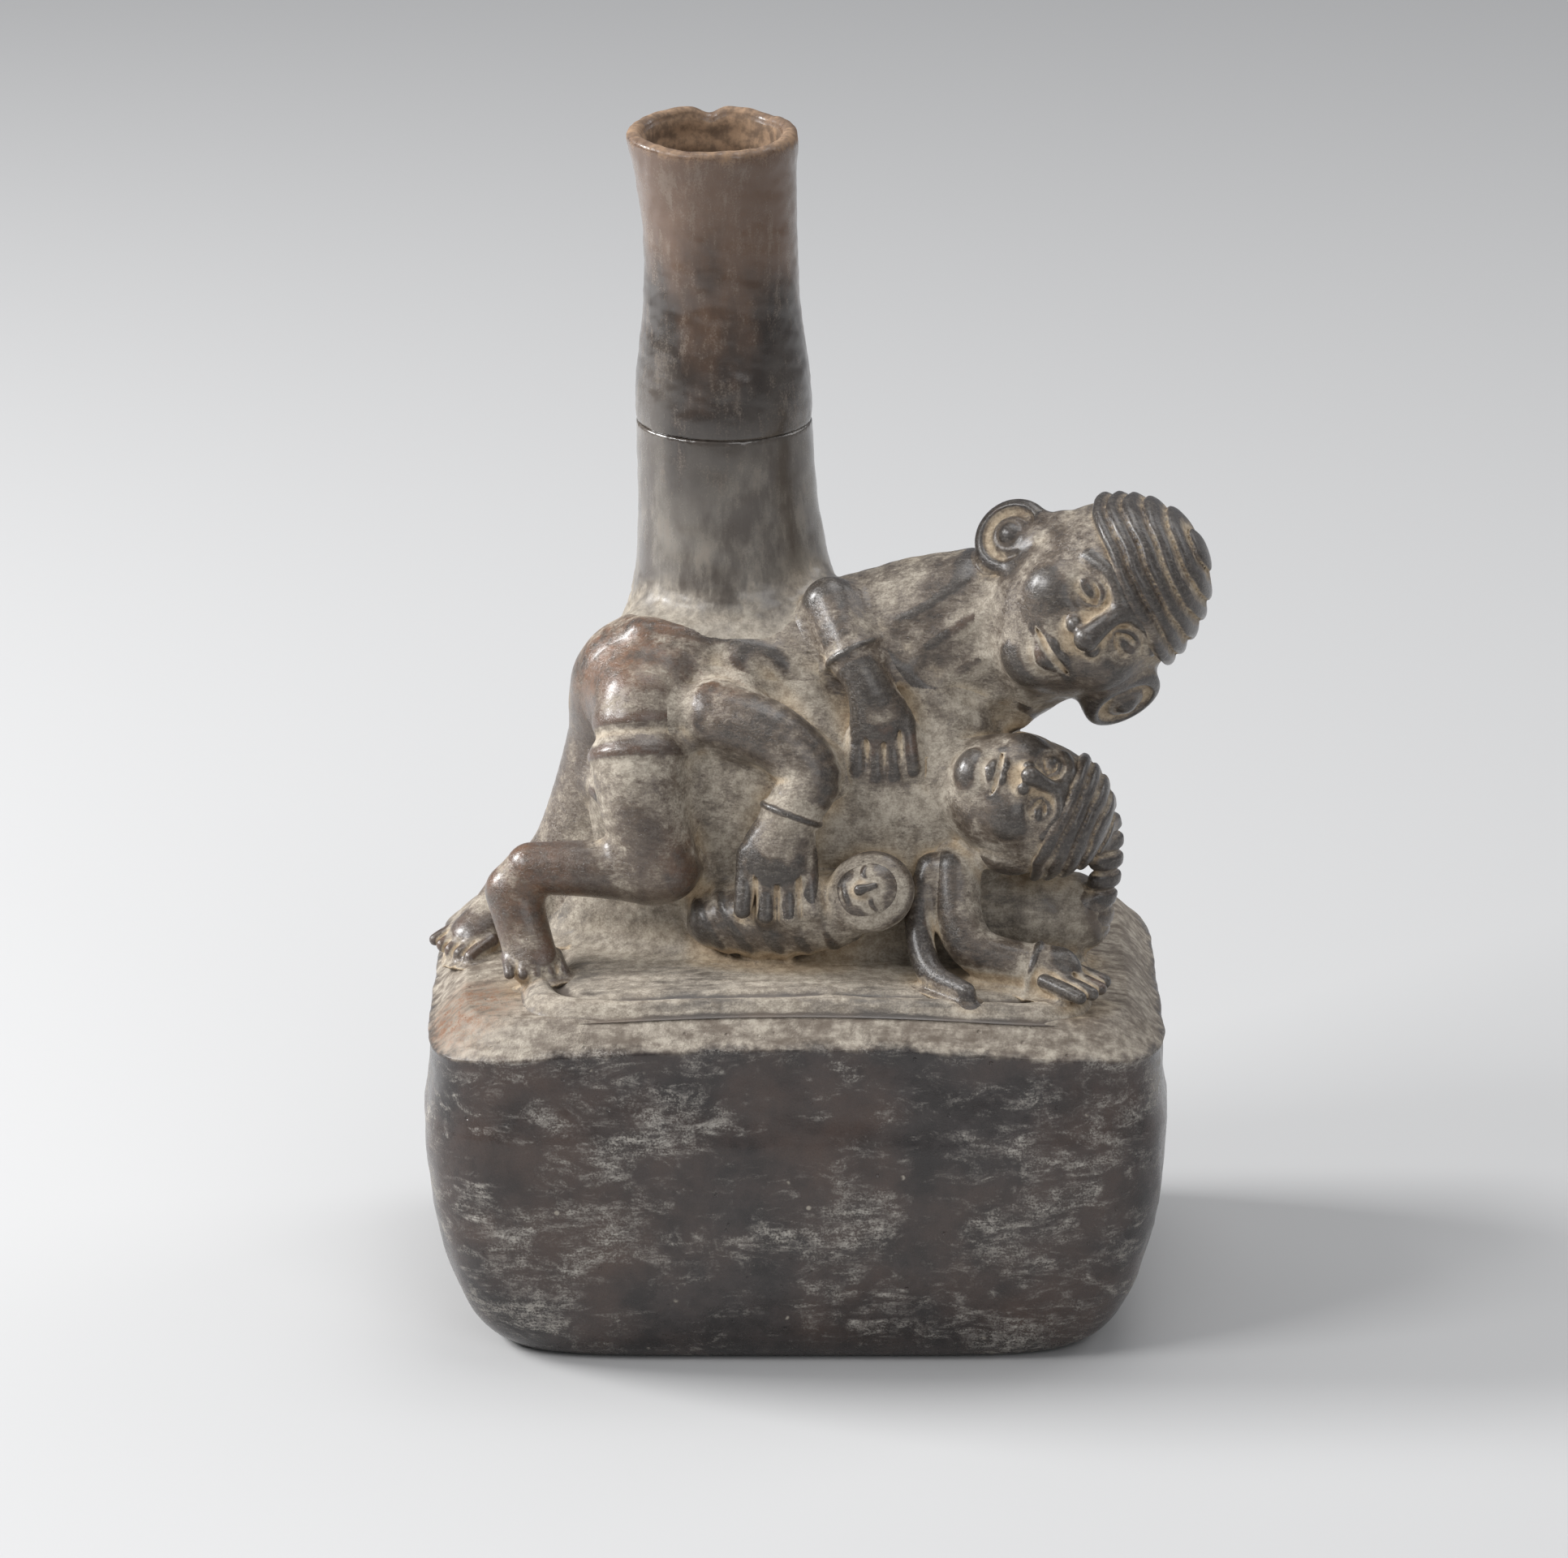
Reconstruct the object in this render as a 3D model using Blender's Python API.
"""Pottery bottle in the form of a bed: a box chamber closed by a bed slab, a hollow mound with two
resting figures and a swaddled infant modelled on it, and a tall tubular spout in two lengths.

Each object is one piece of clay as a potter makes it before joining: pressed, rolled or modelled by
itself, trimmed to its neighbours and luted on with a thin line of slip. Units are metres, +Z is up,
the front is at -Y, and the origin is the middle of the flat foot.
"""

import math

import bmesh
import bpy
from mathutils import Vector

# Clay and slip, and the distance under which two points of a cut are one
SLIP_GAP = 0.0003
WELD = 2e-6
FLAT_ANGLE = math.radians(0.2)
WALL = 0.0055

# Chamber tub: the pressed lower box
CHAMBER_LENGTH = 0.142
CHAMBER_DEPTH = 0.100
FOOT_LENGTH = 0.104
FOOT_DEPTH = 0.078
TUB_HEIGHT = 0.058
BELLY_HEIGHT = 0.046
TUB_RIM_INSET = 0.0012
BOX_POWER = 5.0
BELLY_POWER = 0.4

# Bed slab: the lid of the chamber, crowned in the middle
SLAB_THICKNESS = 0.013
SLAB_EDGE_ROUND = 0.0055
BED_CROWN = 0.005
BED_TOP = TUB_HEIGHT + SLIP_GAP + SLAB_THICKNESS

# Sleeping mat: the low raised panel on the slab
MAT_END_BORDER = 0.016
MAT_SIDE_BORDER = 0.0085
MAT_LENGTH = CHAMBER_LENGTH - 2 * MAT_END_BORDER
MAT_DEPTH = CHAMBER_DEPTH - 2 * MAT_SIDE_BORDER
MAT_THICKNESS = 0.0016
MAT_CENTRE = Vector((0.002, -0.003))
MAT_POWER = 4.5

# Mound: the hollow hump that carries the figures and the spout
MOUND_HEIGHT = 0.061
MOUND_FOOT_LENGTH = 0.100
MOUND_FOOT_DEPTH = 0.056
MOUND_TOP_LENGTH = 0.072
MOUND_TOP_DEPTH = 0.042
MOUND_FOOT_CENTRE = Vector((0.000, 0.012))
MOUND_TOP_CENTRE = Vector((0.002, 0.0185))
MOUND_SHOULDER = 0.010
MOUND_POWER = 2.4
MOUND_TOP = BED_TOP + MOUND_HEIGHT

# Well: the opening through slab and mat under the mound, a ledge in from its foot
WELL_LEDGE = 0.012
WELL_LENGTH = MOUND_FOOT_LENGTH - 2 * WELL_LEDGE
WELL_DEPTH = MOUND_FOOT_DEPTH - 2 * WELL_LEDGE

# Spout: a flared neck and a tall tube, joined at a visible seam
SPOUT_CENTRE = Vector((-0.0115, 0.018))
SPOUT_LEAN = -0.0045
NECK_LENGTH = 0.0362
SPOUT_LENGTH = 0.0563
BORE_RADIUS = 0.0115
FLARE_RADIUS = 0.0205
THROAT_RADIUS = 0.0168
SEAM_RADIUS = 0.0167
WAIST_RADIUS = 0.0146
RIM_RADIUS = 0.0162
NECK_SINK = 0.006
SEAM_Z = MOUND_TOP + NECK_LENGTH
RIM_Z = SEAM_Z + SPOUT_LENGTH

# Facets
BOX_SIDES = 36
MOUND_SIDES = 28
SPOUT_SIDES = 24
BODY_SIDES = 14
LIMB_SIDES = 10
FINGER_SIDES = 5

# Colours of the burnished black clay, its dusty parts and its browner parts
BLACKWARE = (0.045, 0.036, 0.031, 1.0)
DUSTY_CLAY = (0.30, 0.25, 0.20, 1.0)
BROWN_CLAY = (0.12, 0.075, 0.05, 1.0)


def clay(name, colour, roughness):
    """A Principled material of that colour and roughness."""
    material = bpy.data.materials.new(name)
    material.use_nodes = True
    shader = material.node_tree.nodes["Principled BSDF"]
    shader.inputs["Base Color"].default_value = colour
    shader.inputs["Roughness"].default_value = roughness
    shader.inputs["Metallic"].default_value = 0.0
    return material


def bed_height(x):
    """Height of the slab's crowned top: highest in the middle, lower towards the two ends."""
    return BED_TOP - BED_CROWN * (2 * x / CHAMBER_LENGTH) ** 2


def mound_level(share):
    """Centre, half length and half depth of the mound at that share of its height."""
    centre = MOUND_FOOT_CENTRE.lerp(MOUND_TOP_CENTRE, share)
    half_x = (MOUND_FOOT_LENGTH + (MOUND_TOP_LENGTH - MOUND_FOOT_LENGTH) * share) / 2
    half_y = (MOUND_FOOT_DEPTH + (MOUND_TOP_DEPTH - MOUND_FOOT_DEPTH) * share) / 2
    return centre, half_x, half_y


def on_mound(along, out, rise):
    """A point over the mound: along is -1 at its left end and 1 at its right end, out is the distance
    before its front and rise the share of its height."""
    centre, half_x, half_y = mound_level(rise)
    return Vector((centre.x + along * half_x, centre.y - half_y - out, BED_TOP + rise * MOUND_HEIGHT))


def by_mound(along, out, height):
    """A point over the bed, placed from the ends and the front of the mound's foot in the same way."""
    centre, half_x, half_y = mound_level(0)
    return Vector((centre.x + along * half_x, centre.y - half_y - out, BED_TOP + height))


def superellipse(half_x, half_y, power, sides, centre=Vector((0, 0))):
    """Plan points of a rounded box: |x/a|^n + |y/b|^n = 1, closer together at the corners."""
    points = []
    for i in range(sides):
        angle = 2 * math.pi * (i + 0.5) / sides
        c, s = math.cos(angle), math.sin(angle)
        x = math.copysign(abs(c) ** (2 / power), c) * half_x
        y = math.copysign(abs(s) ** (2 / power), s) * half_y
        points.append(Vector((x, y)) + centre)
    return points


def smooth_between(stations, steps):
    """Catmull-Rom curve through a list of equal-length number lists, read at even steps."""
    last = len(stations) - 1
    rows = []
    for k in range(steps + 1):
        at = last * k / steps
        i = min(int(at), last - 1)
        t = at - i
        p0, p1 = stations[max(i - 1, 0)], stations[i]
        p2, p3 = stations[i + 1], stations[min(i + 2, last)]
        rows.append([
            0.5 * (2 * b + (c - a) * t + (2 * a - 5 * b + 4 * c - d) * t * t
                   + (3 * b - a - 3 * c + d) * t ** 3)
            for a, b, c, d in zip(p0, p1, p2, p3)
        ])
    return rows


def mesh_from_rings(rings, ends):
    """Mesh that bridges a stack of rings. ends is 'loop' to join the last ring to the first,
    'flat' to fill both end rings, or 'poles' for rings whose first and last entry is one point."""
    bm = bmesh.new()
    made = [[bm.verts.new(p) for p in ring] for ring in rings]
    pairs = list(zip(made, made[1:]))
    if ends == "loop":
        pairs.append((made[-1], made[0]))
    for low, high in pairs:
        count = max(len(low), len(high))
        for i in range(count):
            j = (i + 1) % count
            if len(low) == 1:
                bm.faces.new((low[0], high[j], high[i]))
            elif len(high) == 1:
                bm.faces.new((low[i], low[j], high[0]))
            else:
                bm.faces.new((low[i], low[j], high[j], high[i]))
    if ends == "flat":
        bm.faces.new(made[0])
        bm.faces.new(made[-1])
    bmesh.ops.recalc_face_normals(bm, faces=bm.faces)
    bmesh.ops.triangulate(bm, faces=bm.faces)
    mesh = bpy.data.meshes.new("clay")
    bm.to_mesh(mesh)
    bm.free()
    return mesh


def limb(stations, facing, sides=LIMB_SIDES, steps=9):
    """Round-ended limb along a smooth path. Each station is a point, a half width and a half
    thickness; the thickness lies along facing, the width across it."""
    rows = smooth_between([[*p, w, d] for p, w, d in stations], steps)
    points = [Vector(row[:3]) for row in rows]
    tangents = [
        (points[min(i + 1, steps)] - points[max(i - 1, 0)]).normalized() for i in range(steps + 1)
    ]
    rings = []
    end_angles = (0.25, 0.6)

    def ring(centre, tangent, width, depth):
        out = (facing - tangent * facing.dot(tangent)).normalized()
        across = tangent.cross(out)
        return [
            centre + across * (math.cos(a) * width) + out * (math.sin(a) * depth)
            for a in (2 * math.pi * i / sides for i in range(sides))
        ]

    def end_cap(index, direction):
        """Rings that close one end as half an ellipsoid, from its pole inwards."""
        width, depth = rows[index][3:]
        reach = min(width, depth)
        cap = [[points[index] + direction * reach]]
        for share in end_angles:
            a = share * math.pi / 2
            centre = points[index] + direction * (reach * math.cos(a))
            cap.append(ring(centre, tangents[index], width * math.sin(a), depth * math.sin(a)))
        return cap

    rings += end_cap(0, -tangents[0])
    rings += [ring(p, t, row[3], row[4]) for p, t, row in zip(points, tangents, rows)]
    rings += reversed(end_cap(steps, tangents[steps]))
    return mesh_from_rings(rings, "poles")


def scratch_object(mesh):
    """A passing object that only holds a mesh while it is cut or joined."""
    shape = bpy.data.objects.new("scratch", mesh)
    bpy.context.scene.collection.objects.link(shape)
    return shape


def combined(mesh, other, operation):
    """The two meshes cut or joined by an exact Boolean, as a new mesh."""
    base, tool = scratch_object(mesh), scratch_object(other)
    step = base.modifiers.new("combine", "BOOLEAN")
    step.operation = operation
    step.solver = "EXACT"
    step.use_self = True
    step.object = tool
    graph = bpy.context.evaluated_depsgraph_get()
    result = bpy.data.meshes.new_from_object(base.evaluated_get(graph))
    bm = bmesh.new()
    bm.from_mesh(result)
    bmesh.ops.triangulate(bm, faces=bm.faces)
    bmesh.ops.remove_doubles(bm, verts=bm.verts, dist=WELD)
    bmesh.ops.dissolve_degenerate(bm, edges=bm.edges, dist=WELD)
    bm.to_mesh(result)
    bm.free()
    bpy.data.objects.remove(base)
    bpy.data.objects.remove(tool)
    return result


def grown(mesh, distance):
    """A copy of a closed mesh with every point moved out along its normal."""
    bm = bmesh.new()
    bm.from_mesh(mesh)
    bm.normal_update()
    for vertex, normal in [(v, v.normal.copy()) for v in bm.verts]:
        vertex.co += normal * distance
    copy = bpy.data.meshes.new("grown")
    bm.to_mesh(copy)
    bm.free()
    return copy


def corners(mesh):
    """Lowest and highest corner of a mesh."""
    low = Vector([min(v.co[k] for v in mesh.vertices) for k in range(3)])
    high = Vector([max(v.co[k] for v in mesh.vertices) for k in range(3)])
    return low, high


def apart(mesh, other):
    """True if the boxes of two meshes don't meet."""
    (low_a, high_a), (low_b, high_b) = corners(mesh), corners(other)
    return any(high_a[k] < low_b[k] or high_b[k] < low_a[k] for k in range(3))


def main_body(mesh):
    """The mesh freed of the crumbs that a cut leaves beside its main body, its flat parts merged."""
    bm = bmesh.new()
    bm.from_mesh(mesh)
    left, bodies = set(bm.verts), []
    while left:
        edge_of_search = [left.pop()]
        body = set(edge_of_search)
        while edge_of_search:
            vertex = edge_of_search.pop()
            for edge in vertex.link_edges:
                other = edge.other_vert(vertex)
                if other in left:
                    left.discard(other)
                    body.add(other)
                    edge_of_search.append(other)
        bodies.append(body)
    largest = max(bodies, key=len)
    bmesh.ops.delete(bm, geom=[v for v in bm.verts if v not in largest], context="VERTS")
    bmesh.ops.dissolve_limit(bm, angle_limit=FLAT_ANGLE, verts=bm.verts, edges=bm.edges)
    bmesh.ops.triangulate(bm, faces=bm.faces)
    bm.to_mesh(mesh)
    bm.free()
    return mesh


class Pottery:
    """The pieces laid so far. Each new piece is trimmed to the ones before it, a slip line apart."""

    def __init__(self):
        self.fired = bpy.data.objects.new("bottle", None)
        bpy.context.scene.collection.objects.link(self.fired)
        self.laid = []

    def lay(self, name, mesh, material, filled=None):
        """Trims a piece to those laid before and places it. filled is its shape without its hollow,
        which later pieces are trimmed to."""
        uncut = filled or mesh
        for other in self.laid:
            if not apart(uncut, other):
                mesh = combined(mesh, other, "DIFFERENCE")
        self.laid.append(grown(uncut, SLIP_GAP))
        main_body(mesh)
        low, high = corners(mesh)
        middle = (low + high) / 2
        for vertex in mesh.vertices:
            vertex.co -= middle
        mesh.materials.clear()
        mesh.materials.append(material)
        mesh.shade_smooth()
        mesh.set_sharp_from_angle(angle=math.radians(40))
        piece = bpy.data.objects.new(name, mesh)
        piece.location = middle
        piece.parent = self.fired
        bpy.context.scene.collection.objects.link(piece)
        return piece


def level(plan, z):
    """A plan outline lifted to one height."""
    return [Vector((p.x, p.y, z)) for p in plan]


def box_half_sizes(z):
    """Half length and half depth of the chamber at that height: a belly that rounds in to the foot
    by (1 - (1 - u)^2)^power and draws in a little from its widest height to the rim."""
    half_x, half_y = CHAMBER_LENGTH / 2, CHAMBER_DEPTH / 2
    if z >= BELLY_HEIGHT:
        inset = TUB_RIM_INSET * ((z - BELLY_HEIGHT) / (TUB_HEIGHT - BELLY_HEIGHT)) ** 2
        return half_x - inset, half_y - inset
    share = (1 - (1 - z / BELLY_HEIGHT) ** 2) ** BELLY_POWER
    foot_x, foot_y = FOOT_LENGTH / 2, FOOT_DEPTH / 2
    return foot_x + (half_x - foot_x) * share, foot_y + (half_y - foot_y) * share


def chamber_tub():
    """The open box: rings up the outside, over the rim and down the inside to the floor."""
    def rings(offset, heights):
        made = []
        for z in heights:
            half_x, half_y = box_half_sizes(z)
            plan = superellipse(half_x - offset, half_y - offset, BOX_POWER, BOX_SIDES)
            made.append(level(plan, max(z, offset)))
        return made

    steps = 6
    below = [BELLY_HEIGHT * (k / steps) ** 2 for k in range(steps + 1)]
    heights = [*below, TUB_HEIGHT]
    inside = [z for z in heights if z > WALL]
    outer = rings(0, heights)
    inner = rings(WALL, inside)
    floor = superellipse(FOOT_LENGTH / 2, FOOT_DEPTH / 2, BOX_POWER, BOX_SIDES)
    inner.insert(0, level(floor, WALL))
    tub = mesh_from_rings([*outer, *reversed(inner)], "flat")
    return tub, mesh_from_rings(outer, "flat")


def well_plan():
    """Outline of the opening through slab and mat, under the hollow of the mound."""
    return superellipse(WELL_LENGTH / 2, WELL_DEPTH / 2, MOUND_POWER, BOX_SIDES, MOUND_FOOT_CENTRE)


def crowned(plan, drop=0.0):
    """A plan outline laid on the crowned bed, or that far under it."""
    return [Vector((p.x, p.y, bed_height(p.x) - drop)) for p in plan]


def bed_slab():
    """The lid: a vaulted slab of even wall with a rounded upper edge, open under the mound."""
    half_x, half_y = box_half_sizes(TUB_HEIGHT)
    under = TUB_HEIGHT + SLIP_GAP
    edge = [superellipse(half_x, half_y, BOX_POWER, BOX_SIDES)]
    rings = [level(edge[0], under)]
    arc_steps = 4
    for k in range(1, arc_steps + 1):
        angle = k / arc_steps * math.pi / 2
        inset = SLAB_EDGE_ROUND * (1 - math.cos(angle))
        plan = superellipse(half_x - inset, half_y - inset, BOX_POWER, BOX_SIDES)
        foot_share = 1 - math.sin(angle)
        top = crowned(plan)
        rings.append([Vector((p.x, p.y, p.z + (under - p.z) * foot_share)) for p in top])
    hole = well_plan()
    filled = mesh_from_rings([*rings, crowned(hole)], "flat")
    lip = superellipse(half_x - WALL, half_y - WALL, BOX_POWER, BOX_SIDES)
    hollow_edge = WALL + SLAB_EDGE_ROUND / 2
    vault = superellipse(half_x - hollow_edge, half_y - hollow_edge, BOX_POWER, BOX_SIDES)
    slab = mesh_from_rings(
        [level(lip, under), *rings, crowned(hole), crowned(hole, WALL), crowned(vault, WALL)], "loop")
    return slab, filled


def sleeping_mat():
    """The raised panel: trimmed to the slab under it, with a bevelled border and the same opening."""
    half_x, half_y = MAT_LENGTH / 2, MAT_DEPTH / 2
    bevelled_x, bevelled_y = half_x - MAT_THICKNESS, half_y - MAT_THICKNESS
    wide = superellipse(half_x, half_y, MAT_POWER, BOX_SIDES, MAT_CENTRE)
    narrow = superellipse(bevelled_x, bevelled_y, MAT_POWER, BOX_SIDES, MAT_CENTRE)
    lift = SLIP_GAP + MAT_THICKNESS
    sink = WALL / 2
    rings = [crowned(wide, sink), crowned(wide, -lift / 2), crowned(narrow, -lift)]
    hole = well_plan()
    filled = mesh_from_rings([*rings, crowned(hole, -lift)], "flat")
    mat = mesh_from_rings([crowned(hole, sink), *rings, crowned(hole, -lift)], "loop")
    return mat, filled


def mound_rings(offset, low, high, hole):
    """Rings of the hump from one height to the other, drawn in by offset, rounding over to a hole."""
    steps = 6
    rings = []
    for k in range(steps + 1):
        z = low + (high - MOUND_SHOULDER - low) * k / steps
        centre, half_x, half_y = mound_level((z - BED_TOP) / MOUND_HEIGHT)
        plan = superellipse(half_x - offset, half_y - offset, MOUND_POWER, MOUND_SIDES, centre)
        rings.append(level(plan, z))
    draw_in = offset + MOUND_SHOULDER / 2
    shoulder = superellipse(half_x - draw_in, half_y - draw_in, MOUND_POWER, MOUND_SIDES, centre)
    rings.append(level(shoulder, high - MOUND_SHOULDER / 4))
    rings.append(level(superellipse(hole, hole, 2, MOUND_SIDES, SPOUT_CENTRE), high))
    return rings


def mound():
    """The hollow hump: open below to the chamber and above to the neck."""
    seat = BED_TOP - BED_CROWN
    outer = mound_rings(0, seat, MOUND_TOP, BORE_RADIUS)
    inner = mound_rings(WALL, seat, MOUND_TOP - WALL, BORE_RADIUS)
    shell = mesh_from_rings([*outer, *reversed(inner)], "loop")
    return shell, mesh_from_rings(outer, "flat")


def turned(profile, bore, sides=SPOUT_SIDES):
    """A leaning tube: profile rows are height and outer radius, the bore runs right through."""
    def ring(z, radius):
        lean = SPOUT_LEAN * (z - MOUND_TOP) / (RIM_Z - MOUND_TOP)
        centre = SPOUT_CENTRE + Vector((lean, 0))
        return level(superellipse(radius, radius, 2, sides, centre), z)

    outer = [ring(z, radius) for z, radius in profile]
    foot, top = profile[0][0], profile[-1][0]
    tube = mesh_from_rings([*outer, ring(top, bore), ring(foot, bore)], "loop")
    return tube, mesh_from_rings(outer, "flat")


def spout_neck():
    """The lower length: flares down onto the mound."""
    rows = [
        (MOUND_TOP - NECK_SINK, FLARE_RADIUS),
        (MOUND_TOP + NECK_LENGTH / 4, (FLARE_RADIUS + 2 * THROAT_RADIUS) / 3),
        (MOUND_TOP + NECK_LENGTH * 0.6, THROAT_RADIUS),
        (SEAM_Z, SEAM_RADIUS),
    ]
    return turned(smooth_between(rows, 8), BORE_RADIUS)


def spout_tube():
    """The upper length: swells at the seam, narrows to a waist and opens to a thin rim."""
    rows = [
        (SEAM_Z + SLIP_GAP, SEAM_RADIUS),
        (SEAM_Z + SPOUT_LENGTH * 0.12, SEAM_RADIUS),
        (SEAM_Z + SPOUT_LENGTH * 0.4, WAIST_RADIUS),
        (SEAM_Z + SPOUT_LENGTH * 0.7, WAIST_RADIUS),
        (RIM_Z, RIM_RADIUS),
    ]
    return turned(smooth_between(rows, 12), BORE_RADIUS)


class Head:
    """A head as a stack of rings along its up direction, and places on its surface.

    t runs from -1 at the chin to 1 at the crown, side from -1 to 1 across the face."""

    def __init__(self, centre, up, face, half_length, half_width, half_depth, sides=14):
        self.centre = centre
        self.sides = sides
        self.up = up.normalized()
        self.face = (face - self.up * face.dot(self.up)).normalized()
        self.side = self.up.cross(self.face)
        self.size = (half_length, half_width, half_depth)

    def girth(self, t):
        """Share of the full width at that height: round, a little fuller above than at the chin."""
        return math.sqrt(max(1 - t * t, 0)) * (1 + 0.1 * t)

    def place(self, t, side, lift=0.0):
        """A point on the face, lifted off it by that much."""
        length, width, depth = self.size
        across = side * self.girth(t)
        forward = self.girth(t) * math.sqrt(max(1 - side * side, 0))
        return (self.centre + self.up * (length * t) + self.side * (width * across)
                + self.face * (depth * forward + lift))

    def rings(self, heights, thicker=0.0):
        """Closed rings at those heights, made wider by thicker."""
        length, width, depth = self.size
        angles = [2 * math.pi * i / self.sides for i in range(self.sides)]
        made = []
        for t in heights:
            around = self.girth(min(t, 0.999))
            half_x, half_y = width * around + thicker, depth * around + thicker
            middle = self.centre + self.up * (length * t)
            made.append([
                middle + self.side * (math.cos(a) * half_x) + self.face * (math.sin(a) * half_y)
                for a in angles
            ])
        return made

    def skull(self):
        """The plain head with nose, brows, eyelids and lips pressed on."""
        length, width, depth = self.size
        tops = [math.sin(a * math.pi / 2) for a in (-0.85, -0.65, -0.42, -0.2, 0, 0.2, 0.42, 0.65, 0.85)]
        pole_low = [self.centre - self.up * length]
        pole_high = [self.centre + self.up * length]
        mesh = mesh_from_rings([pole_low, *self.rings(tops), pole_high], "poles")
        unit = width / 15
        features = [
            [
                (self.place(0.20, 0), unit * 1.6, unit * 1.0),
                (self.place(0.0, 0, unit), unit * 2.0, unit * 1.6),
                (self.place(-0.2, 0, unit * 1.4), unit * 2.9, unit * 2.0),
            ],
            [
                (self.place(-0.5, -0.32), unit * 1.3, unit * 1.2),
                (self.place(-0.5, 0, unit * 0.6), unit * 1.7, unit * 1.5),
                (self.place(-0.5, 0.32), unit * 1.3, unit * 1.2),
            ],
        ]
        for hand in (-1, 1):
            features.append([
                (self.place(0.04, hand * 0.24), unit * 1.2, unit * 1.0),
                (self.place(0.05, hand * 0.42, unit * 0.4), unit * 2.0, unit * 1.4),
                (self.place(0.04, hand * 0.60), unit * 1.2, unit * 1.0),
            ])
        for stations in features:
            mesh = combined(mesh, limb(stations, self.face, sides=6, steps=3), "UNION")
        return mesh

    def wrap(self, brow, thickness, coils):
        """A head cloth wound in coils from the brow to the crown."""
        steps = coils * 4
        rings = []
        for k in range(steps + 1):
            t = brow + (0.97 - brow) * k / steps
            swell = thickness * (0.55 + 0.45 * abs(math.sin(math.pi * coils * k / steps)))
            rings += self.rings([t], swell)
        length = self.size[0]
        low = [self.centre + self.up * (length * brow)]
        high = [self.centre + self.up * (length + thickness)]
        return mesh_from_rings([low, *rings, high], "poles")


def ear_disc(centre, axis, radius, thickness):
    """A round ear ornament: a disc with a rounded edge and a raised boss."""
    out = axis.normalized()
    across = out.orthogonal().normalized()
    down = out.cross(across)
    sides = 16
    profile = [
        (-0.5, 0.80), (-0.3, 0.98), (0.2, 1.0), (0.5, 0.86), (0.42, 0.58), (0.42, 0.42), (0.7, 0.30),
    ]
    rings = [[centre - out * (thickness * 0.5)]]
    for along, wide in profile:
        middle = centre + out * (thickness * along)
        rings.append([
            middle + across * (math.cos(a) * radius * wide) + down * (math.sin(a) * radius * wide)
            for a in (2 * math.pi * i / sides for i in range(sides))
        ])
    rings.append([centre + out * (thickness * 0.8)])
    return mesh_from_rings(rings, "poles")


def with_digits(mesh, root, along, across, facing, digit_size, count):
    """A hand or foot with its fingers or toes joined on side by side, the outer ones shorter."""
    length, radius = digit_size
    for k in range(count):
        offset = (k - (count - 1) / 2) / max((count - 1) / 2, 1)
        start = root + across * (offset * radius * (count - 1) * 0.92)
        reach = length * (1 - 0.18 * offset * offset)
        tip = start + along * reach + across * (offset * radius * 0.5)
        stations = [
            (start - along * radius, radius, radius),
            (start.lerp(tip, 0.6), radius, radius),
            (tip, radius * 0.85, radius * 0.85),
        ]
        digit = limb(stations, facing, sides=FINGER_SIDES, steps=2)
        mesh = combined(mesh, digit, "UNION")
    return mesh


# Figures. Each place is measured from the mound that carries them.
TO_FRONT = Vector((0, -1, 0))
TO_FRONT_AND_UP = Vector((0, -0.9, 0.45))
TO_TOP = Vector((0, 0, 1))

REAR_TUNIC = [
    (on_mound(-0.88, -0.0115, 0.760), 0.0095, 0.0100),
    (on_mound(-0.74, -0.0090, 0.800), 0.0140, 0.0130),
    (on_mound(-0.25, -0.0100, 0.810), 0.0140, 0.0130),
    (on_mound(0.32, -0.0090, 0.885), 0.0160, 0.0140),
    (on_mound(0.82, -0.0075, 0.935), 0.0175, 0.0140),
    (on_mound(1.06, -0.0055, 0.940), 0.0145, 0.0125),
]
FRONT_TUNIC = [
    (on_mound(-0.72, -0.0055, 0.490), 0.0090, 0.0070),
    (on_mound(-0.49, -0.0020, 0.525), 0.0140, 0.0090),
    (on_mound(-0.02, -0.0010, 0.530), 0.0145, 0.0090),
    (on_mound(0.44, 0.0000, 0.515), 0.0150, 0.0095),
    (on_mound(0.72, -0.0005, 0.490), 0.0130, 0.0095),
]
BOLSTER_RADIUS = 0.0077
BOLSTER_OUT = -0.007
BOLSTER_ENDS = (0.72, 1.05)

REAR_HEAD = Head(on_mound(1.58, 0.003, 1.115), Vector((0.83, 0, 0.55)), TO_FRONT, 0.0218, 0.0168, 0.0168)
REAR_EAR_RADIUS = 0.0078
REAR_EAR_THICKNESS = 0.0050
FRONT_HEAD = Head(on_mound(0.985, 0.007, 0.515), Vector((0.95, 0, -0.31)), Vector((-0.1, -0.75, 0.65)),
                  0.0164, 0.0128, 0.0128, 12)
WRAP_THICKNESS = 0.0024
HAIR_TAIL = [
    (by_mound(1.11, -0.0005, 0.0330), 0.0036, 0.0022),
    (by_mound(1.17, -0.0020, 0.0250), 0.0038, 0.0024),
    (by_mound(1.17, -0.0035, 0.0150), 0.0036, 0.0024),
    (by_mound(1.13, -0.0050, 0.0050), 0.0032, 0.0022),
]

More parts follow.
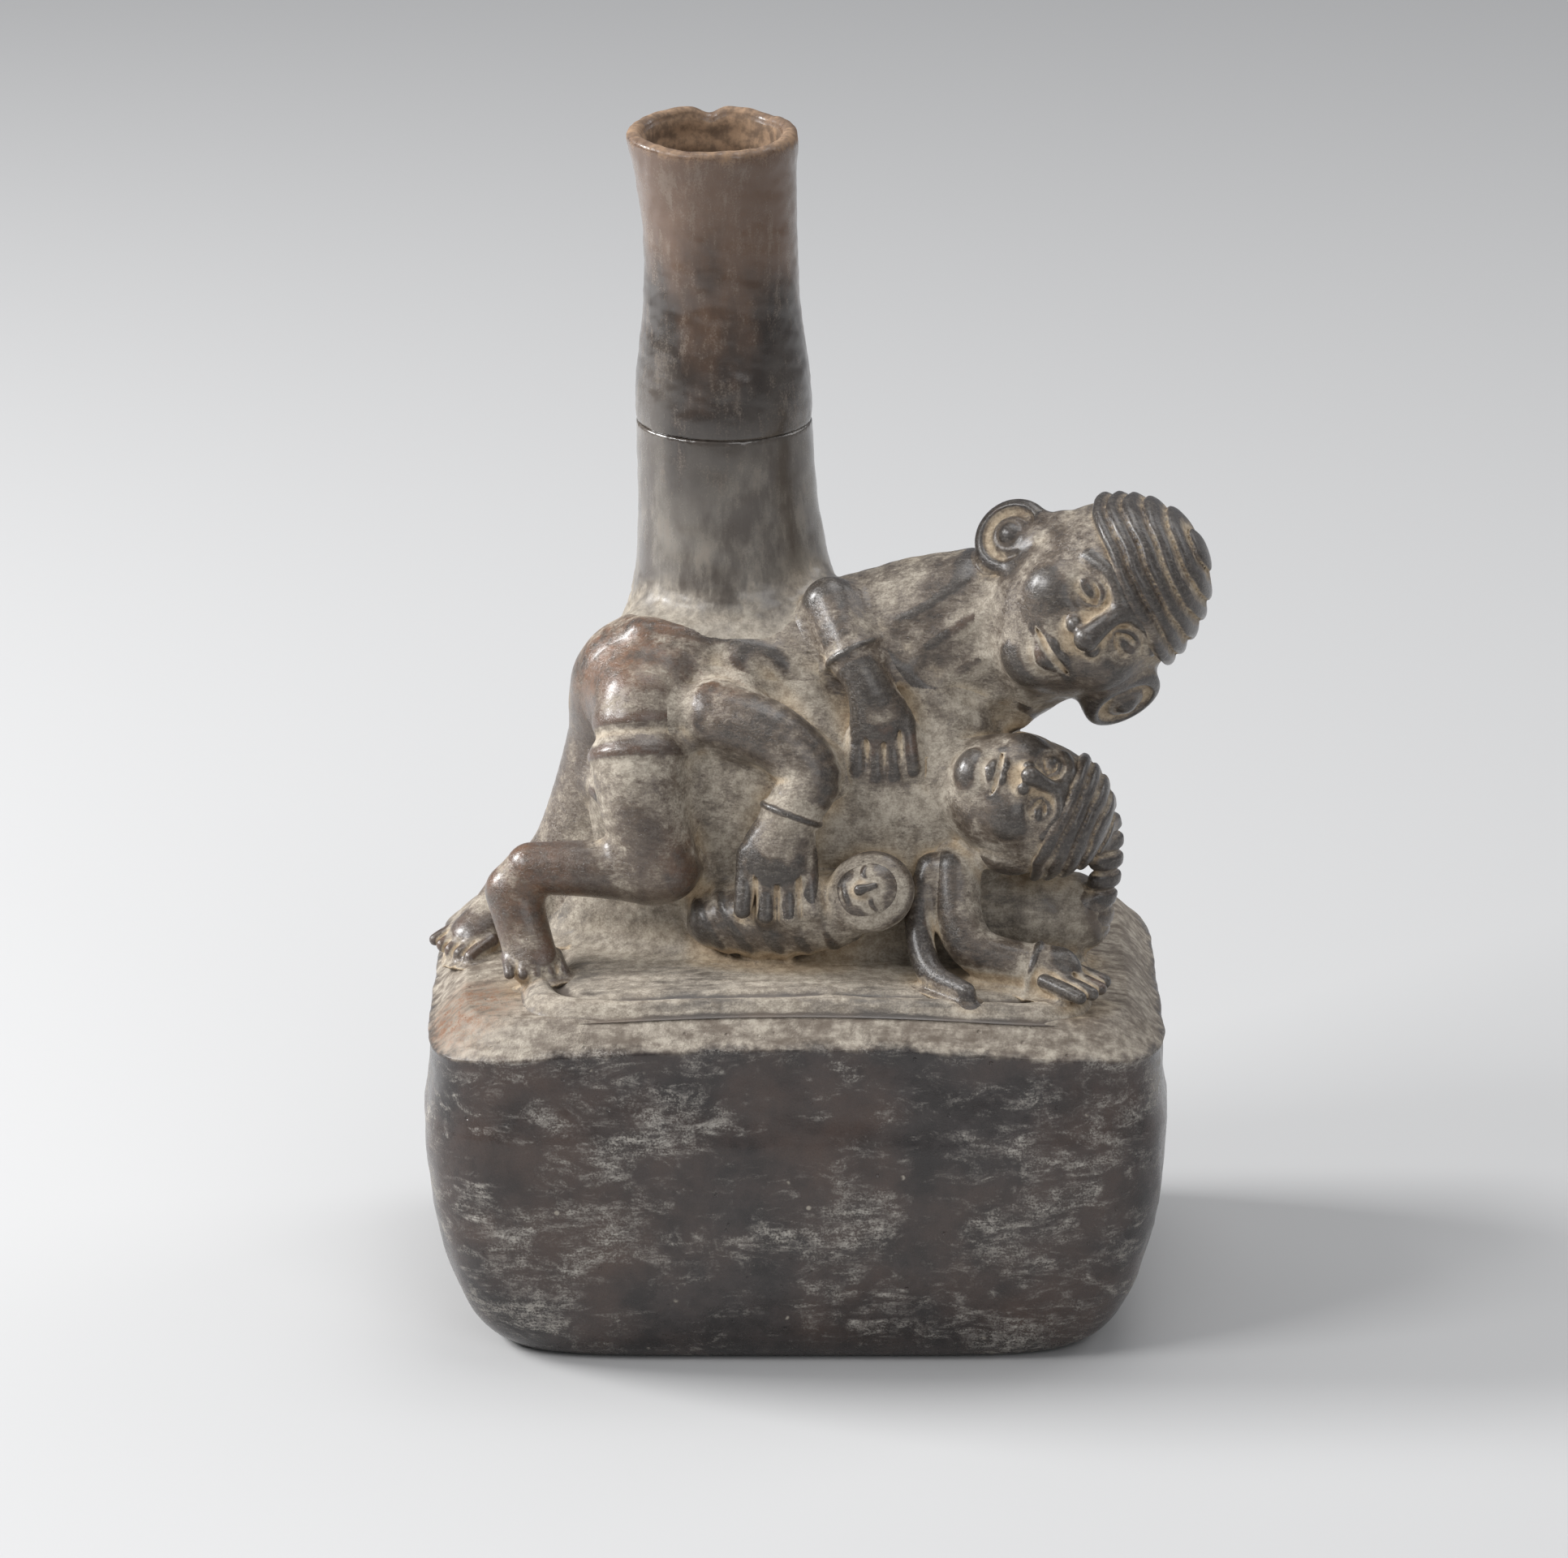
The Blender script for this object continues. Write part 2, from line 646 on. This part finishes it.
FAR_LEG = [
    (on_mound(-0.85, -0.0150, 0.655), 0.0095, 0.0095),
    (on_mound(-0.89, -0.0190, 0.425), 0.0080, 0.0085),
    (on_mound(-0.95, -0.0215, 0.230), 0.0066, 0.0070),
    (on_mound(-1.04, -0.0225, 0.115), 0.0058, 0.0060),
]
FAR_FOOT = [
    (by_mound(-1.09, -0.0235, 0.0045), 0.0058, 0.0056),
    (by_mound(-1.16, -0.0205, 0.0010), 0.0056, 0.0050),
    (by_mound(-1.23, -0.0170, -0.0010), 0.0054, 0.0038),
]
NEAR_THIGH = [
    (on_mound(-0.78, 0.0025, 0.785), 0.0095, 0.0090),
    (on_mound(-0.755, 0.0070, 0.655), 0.0092, 0.0085),
    (on_mound(-0.68, 0.0085, 0.490), 0.0080, 0.0076),
    (on_mound(-0.55, 0.0080, 0.320), 0.0062, 0.0066),
]
NEAR_SHIN = [
    (by_mound(-0.58, 0.0030, 0.0185), 0.0058, 0.0056),
    (by_mound(-0.78, 0.0020, 0.0190), 0.0054, 0.0052),
    (by_mound(-1.00, 0.0005, 0.0185), 0.0050, 0.0048),
]
NEAR_FOOT = [
    (by_mound(-1.07, 0.0005, 0.0140), 0.0054, 0.0050),
    (by_mound(-1.03, 0.0035, 0.0070), 0.0050, 0.0044),
    (by_mound(-1.00, 0.0070, 0.0028), 0.0050, 0.0034),
]
REAR_ARM = [
    (on_mound(0.125, 0.0005, 1.085), 0.0062, 0.0058),
    (on_mound(0.22, 0.0065, 0.975), 0.0050, 0.0046),
    (on_mound(0.31, 0.0090, 0.880), 0.0044, 0.0040),
    (on_mound(0.37, 0.0090, 0.775), 0.0060, 0.0032),
]
FRONT_NEAR_ARM = [
    (on_mound(-0.44, 0.0070, 0.780), 0.0068, 0.0064),
    (on_mound(-0.15, 0.0110, 0.740), 0.0062, 0.0060),
    (on_mound(0.03, 0.0125, 0.630), 0.0058, 0.0056),
    (on_mound(-0.05, 0.0135, 0.510), 0.0054, 0.0050),
    (on_mound(-0.10, 0.0145, 0.390), 0.0072, 0.0042),
]
FRONT_RESTING_ARM = [
    (by_mound(0.60, 0.0040, 0.0195), 0.0048, 0.0046),
    (by_mound(0.61, 0.0090, 0.0115), 0.0046, 0.0044),
    (by_mound(0.68, 0.0125, 0.0065), 0.0044, 0.0042),
    (by_mound(0.83, 0.0140, 0.0045), 0.0041, 0.0038),
    (by_mound(0.97, 0.0155, 0.0030), 0.0052, 0.0031),
]
SLEEVE_BAND = [
    (by_mound(0.505, 0.0040, 0.0200), 0.0026, 0.0024),
    (by_mound(0.46, 0.0100, 0.0115), 0.0026, 0.0024),
    (by_mound(0.50, 0.0170, 0.0040), 0.0026, 0.0022),
    (by_mound(0.63, 0.0240, 0.0022), 0.0022, 0.0018),
]
INFANT_WRAP = [
    (by_mound(0.13, 0.0070, 0.0122), 0.0070, 0.0066),
    (by_mound(-0.08, 0.0055, 0.0106), 0.0076, 0.0074),
    (by_mound(-0.30, 0.0030, 0.0092), 0.0056, 0.0058),
]
INFANT_HEAD = Head(by_mound(0.285, 0.0090, 0.0165), Vector((0.95, 0, 0.3)), Vector((0, -0.85, 0.5)),
                   0.0080, 0.0072, 0.0072, 12)
REAR_FINGER = (0.0070, 0.0015)
NEAR_FINGER = (0.0084, 0.0019)
RESTING_FINGER = (0.0066, 0.0015)
TOE_SIZE = (0.0040, 0.0014)
DIGIT_ROOT = 0.0026


def arm_with_hand(stations, pointing, across, back_of_hand, finger_size, steps=9):
    """An arm with four fingers pointing away from its last station."""
    along = pointing.normalized()
    root = stations[-1][0] + along * DIGIT_ROOT
    arm = limb(stations, TO_FRONT_AND_UP, steps=steps)
    return with_digits(arm, root, along, across, back_of_hand, finger_size, 4)


def foot_with_toes(stations, facing, pointing, across):
    """A foot with five toes pointing away from its last station."""
    along = pointing.normalized()
    root = stations[-1][0] + along * DIGIT_ROOT
    return with_digits(limb(stations, facing, steps=6), root, along, across, TO_TOP, TOE_SIZE, 5)


def build():
    """Lays every piece in the order in which it is trimmed to the ones before."""
    dark = clay("burnished_black_clay", BLACKWARE, 0.38)
    spout_clay = clay("burnished_spout_clay", BLACKWARE, 0.34)
    dusty = clay("dusty_bed_clay", DUSTY_CLAY, 0.7)
    brown = clay("browned_limb_clay", BROWN_CLAY, 0.5)
    figure = clay("rubbed_figure_clay", DUSTY_CLAY, 0.55)
    pots = Pottery()

    tub, tub_filled = chamber_tub()
    pots.lay("chamber_tub", tub, dark, tub_filled)
    slab, slab_filled = bed_slab()
    pots.lay("bed_slab", slab, dark, slab_filled)
    mat, mat_filled = sleeping_mat()
    pots.lay("sleeping_mat", mat, dusty, mat_filled)
    hump, hump_filled = mound()
    pots.lay("figure_mound", hump, dusty, hump_filled)
    neck, neck_filled = spout_neck()
    pots.lay("spout_neck", neck, spout_clay, neck_filled)
    tube, tube_filled = spout_tube()
    pots.lay("spout_tube", tube, spout_clay, tube_filled)
    pots.lay("rear_figure_tunic", limb(REAR_TUNIC, TO_FRONT, BODY_SIDES, 11), figure)
    pots.lay("front_figure_tunic", limb(FRONT_TUNIC, TO_FRONT, BODY_SIDES, 9), figure)

    bolster_height = MAT_THICKNESS + BOLSTER_RADIUS - BED_CROWN / 2
    bolster = [
        (by_mound(end, BOLSTER_OUT, bolster_height), BOLSTER_RADIUS, BOLSTER_RADIUS) for end in BOLSTER_ENDS
    ]
    pots.lay("bolster", limb(bolster, TO_FRONT, BODY_SIDES, 4), dusty)

    pots.lay("rear_figure_head", REAR_HEAD.skull(), figure)
    pots.lay("rear_figure_head_cloth", REAR_HEAD.wrap(0.42, WRAP_THICKNESS, 3), dark)
    for name, t, hand, forward in (("upper", -0.32, -1, -0.005), ("lower", -0.27, 1, 0.003)):
        lobe = REAR_HEAD.place(t, hand) + REAR_HEAD.face * forward
        axis = REAR_HEAD.side * hand + REAR_HEAD.face * 0.9
        centre = lobe + axis.normalized() * (REAR_EAR_THICKNESS * 0.4)
        disc = ear_disc(centre, axis, REAR_EAR_RADIUS, REAR_EAR_THICKNESS)
        pots.lay(f"rear_figure_{name}_ear_disc", disc, dark)
    pots.lay("front_figure_head", FRONT_HEAD.skull(), figure)
    pots.lay("front_figure_head_cloth", FRONT_HEAD.wrap(0.45, WRAP_THICKNESS, 2), dark)
    pots.lay("front_figure_hair_tail", limb(HAIR_TAIL, Vector((0.6, -0.8, 0)), 8, 8), dark)

    pots.lay("far_leg", limb(FAR_LEG, TO_FRONT), brown)
    foot = foot_with_toes(FAR_FOOT, TO_TOP, Vector((-0.75, -0.6, -0.3)), Vector((0.62, -0.78, 0)))
    pots.lay("far_foot", foot, brown)
    pots.lay("near_thigh", limb(NEAR_THIGH, TO_FRONT), brown)
    pots.lay("near_shin", limb(NEAR_SHIN, TO_FRONT), brown)
    foot = foot_with_toes(NEAR_FOOT, TO_FRONT, Vector((0.25, -0.92, -0.3)), Vector((0.96, 0.26, 0)))
    pots.lay("near_foot", foot, brown)

    arm = arm_with_hand(REAR_ARM, Vector((0.05, -0.3, -0.95)), Vector((1, 0, 0.05)), TO_FRONT, REAR_FINGER)
    pots.lay("rear_figure_arm", arm, figure)
    arm = arm_with_hand(FRONT_NEAR_ARM, Vector((0, -0.42, -0.91)), Vector((1, 0, 0)), TO_FRONT, NEAR_FINGER)
    pots.lay("front_figure_near_arm", arm, figure)
    pointing, across = Vector((0.85, -0.5, -0.2)), Vector((0.5, 0.86, 0))
    arm = arm_with_hand(FRONT_RESTING_ARM, pointing, across, TO_TOP, RESTING_FINGER, 10)
    pots.lay("front_figure_resting_arm", arm, figure)
    pots.lay("front_figure_sleeve_band", limb(SLEEVE_BAND, TO_FRONT, 8, 8), figure)
    pots.lay("infant_head", INFANT_HEAD.skull(), figure)
    pots.lay("infant_wrap", limb(INFANT_WRAP, TO_FRONT, BODY_SIDES, 7), dusty)


for leftover in list(bpy.data.objects):
    bpy.data.objects.remove(leftover)
build()
